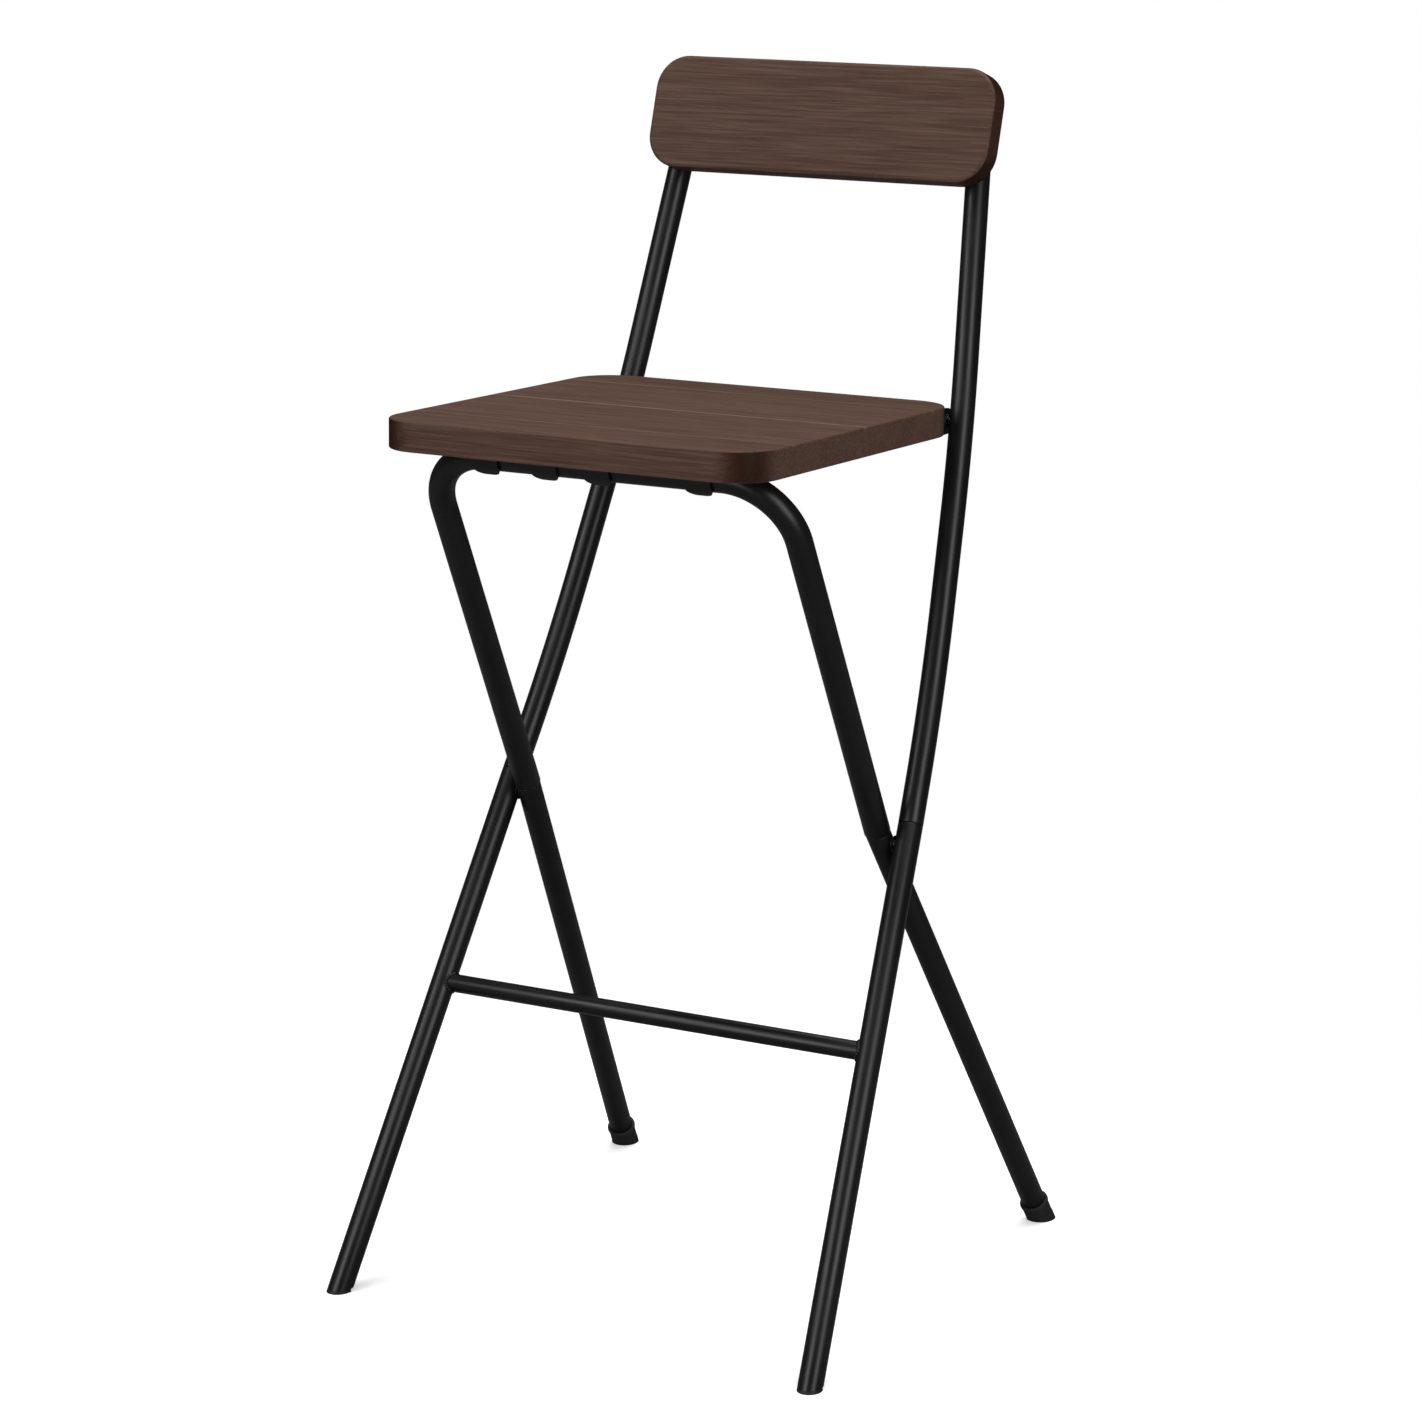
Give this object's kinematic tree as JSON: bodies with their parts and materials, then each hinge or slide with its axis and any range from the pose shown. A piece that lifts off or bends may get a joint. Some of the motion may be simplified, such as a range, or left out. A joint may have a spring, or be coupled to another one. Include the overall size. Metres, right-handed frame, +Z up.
{
  "type": "folding bar stool",
  "caption": "Tall folding stool with a crossed black tube frame, a footrest bar, a dark wood seat on a hoop and a small wooden backrest.",
  "frame": {"origin": "on the floor under the middle of the stool's overall width and depth", "axes": "+X towards the sitter's left as seen from the front, +Y to the stool's rear, +Z up; the front of the seat faces -Y"},
  "size_m": [0.4702, 0.4803, 1.0054],
  "materials": {
    "frame_black": "satin black powder coat",
    "seat_wood": "dark brown stained boards under satin lacquer",
    "backrest_wood": "dark brown stained wood under satin lacquer",
    "bracket_black": "satin black on pressed steel",
    "black_rubber": "matt black rubber",
    "black_plastic": "fine matt black moulding",
    "washer_plastic": "smooth black nylon",
    "black_screw": "black coated steel",
    "zinc_steel": "bright zinc plate"
  },
  "bodies": {
    "back_frame": {"back_tube_left": "frame_black", "back_tube_right": "frame_black", "front_leg_left": "frame_black", "front_leg_right": "frame_black", "footrest_bar": "frame_black", "backrest_panel": "backrest_wood", "backrest_screws": "black_screw", "back_tube_plug_left": "black_plastic", "back_tube_plug_right": "black_plastic", "front_foot_plug_left": "black_plastic", "front_foot_plug_right": "black_plastic", "pivot_rivet_left": "zinc_steel", "pivot_rivet_right": "zinc_steel", "pivot_washer_left": "washer_plastic", "pivot_washer_right": "washer_plastic", "hinge_rivet_nut_left": "zinc_steel", "hinge_rivet_nut_right": "zinc_steel", "hinge_screw_left": "black_screw", "hinge_screw_right": "black_screw", "hinge_washer_left": "washer_plastic", "hinge_washer_right": "washer_plastic"},
    "support_frame": {"seat_hoop": "frame_black", "rear_leg_left": "frame_black", "rear_leg_right": "frame_black", "rear_foot_cap_left": "black_rubber", "rear_foot_cap_right": "black_rubber"},
    "seat": {"seat_board": "seat_wood", "hinge_bracket_left": "bracket_black", "hinge_bracket_right": "bracket_black", "tube_clip_far_left": "bracket_black", "tube_clip_left": "bracket_black", "tube_clip_middle": "bracket_black", "tube_clip_right": "bracket_black", "clip_screws": "black_screw", "bracket_screws": "black_screw"}
  },
  "joints": [
    {"name": "fold", "type": "hinge", "parent": "back_frame", "child": "support_frame", "pos_m": [0, -0.0042, 0.3901], "axis": [-1, 0, 0], "range_deg": [0, 45]},
    {"name": "seat_hinge", "type": "hinge", "parent": "back_frame", "child": "seat", "pos_m": [0, 0.14993, 0.7168], "axis": [-1, 0, 0], "range_deg": [0, 54]}
  ],
  "couplings": [
    {"joint": "seat_hinge", "follows": "fold", "ratio": 1.2}
  ]
}
